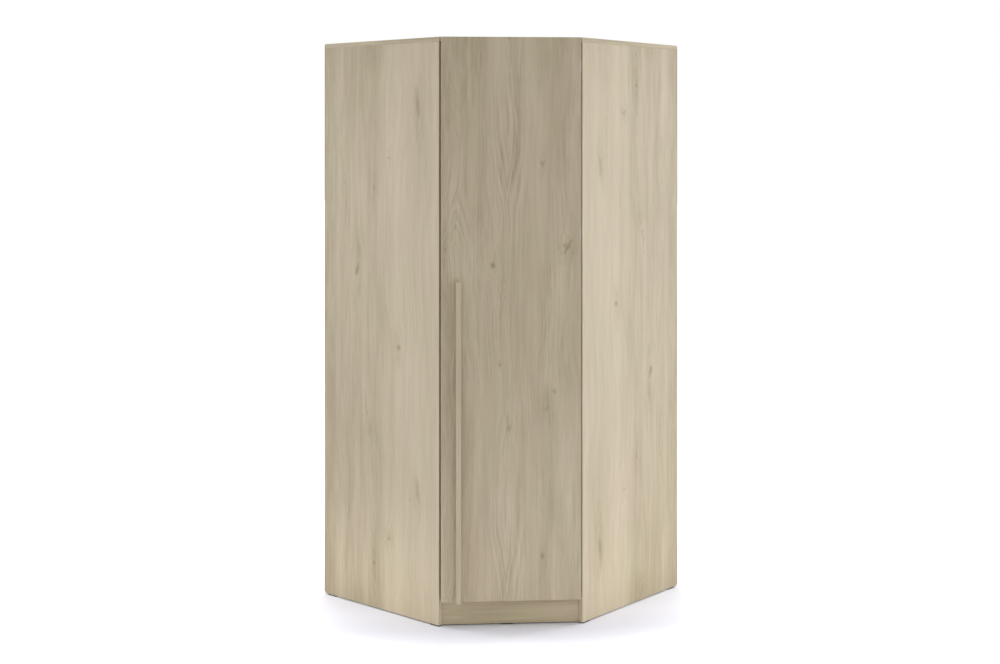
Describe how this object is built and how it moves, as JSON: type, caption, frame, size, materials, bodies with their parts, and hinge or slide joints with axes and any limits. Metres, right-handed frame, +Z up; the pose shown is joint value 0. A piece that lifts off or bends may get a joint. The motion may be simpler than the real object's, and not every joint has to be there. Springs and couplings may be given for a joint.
{
  "type": "corner wardrobe",
  "caption": "Tall five-sided corner wardrobe in pale oak finish with a single door across its diagonal front, a long bar handle, a low plinth, hanging rails and a top shelf.",
  "frame": {"origin": "on the floor under the middle of the box round the wardrobe with its door closed", "axes": "+Z up; the back wall is along +Y and the left wall along -X, so the room corner is at -X +Y and the door faces +X -Y"},
  "size_m": [0.9401, 0.9401, 2.034],
  "materials": {
    "oak_board": "matt pale greyed oak-effect melamine with vertical grain",
    "oak_door": "matt pale greyed oak-effect melamine with vertical grain",
    "oak_handle": "matt pale greyed oak-effect foil with vertical grain",
    "raw_board": "plain unfaced board",
    "dowel_wood": "fluted beech",
    "hardboard": "thin hardboard with a pale printed face",
    "glide_plastic": "black moulded plastic",
    "rail_chrome": "bright chromed tube",
    "rail_fitting": "satin chromed casting",
    "zinc_steel": "zinc plated",
    "hinge_steel": "black nickel plated",
    "screw_steel": "zinc plated",
    "bumper_rubber": "soft translucent bumper"
  },
  "bodies": {
    "carcass": {"back_nails": "screw_steel", "back_panel_left": "hardboard", "back_panel_right": "hardboard", "bottom_panel": "oak_board", "cam_bolts": "screw_steel", "cam_locks": "screw_steel", "corner_post": "oak_board", "door_bumpers": "bumper_rubber", "glide_left_front": "glide_plastic", "glide_left_rear": "glide_plastic", "glide_plinth": "glide_plastic", "glide_post": "glide_plastic", "glide_right_front": "glide_plastic", "glide_right_rear": "glide_plastic", "hanging_rail_left": "rail_chrome", "hanging_rail_right": "rail_chrome", "hinge_arm_1": "hinge_steel", "hinge_arm_2": "hinge_steel", "hinge_arm_3": "hinge_steel", "hinge_arm_4": "hinge_steel", "hinge_pins": "screw_steel", "hinge_plate_1": "hinge_steel", "hinge_plate_2": "hinge_steel", "hinge_plate_3": "hinge_steel", "hinge_plate_4": "hinge_steel", "hinge_plate_screws": "screw_steel", "left_side_panel": "oak_board", "plinth_board": "oak_board", "rail_bracket_left": "rail_fitting", "rail_bracket_right": "rail_fitting", "rail_caps": "glide_plastic", "rail_screws": "screw_steel", "rail_socket_left": "rail_fitting", "rail_socket_right": "rail_fitting", "rear_rail_left": "raw_board", "rear_rail_right": "raw_board", "right_side_panel": "oak_board", "top_panel": "oak_board", "top_shelf": "oak_board", "wall_bracket_left": "zinc_steel", "wall_bracket_right": "zinc_steel", "wall_bracket_screws": "screw_steel", "wooden_dowels": "dowel_wood"},
    "door": {"door_panel": "oak_door", "handle_bar": "oak_handle", "handle_screws": "screw_steel", "hinge_cup_screws": "screw_steel", "hinge_cup_1": "hinge_steel", "hinge_cup_2": "hinge_steel", "hinge_cup_3": "hinge_steel", "hinge_cup_4": "hinge_steel"}
  },
  "joints": [
    {"name": "door_swing", "type": "hinge", "parent": "carcass", "child": "door", "pos_m": [0.45773, -0.11421, 1.0615], "axis": [0, 0, 1], "range_deg": [0, 95]}
  ]
}
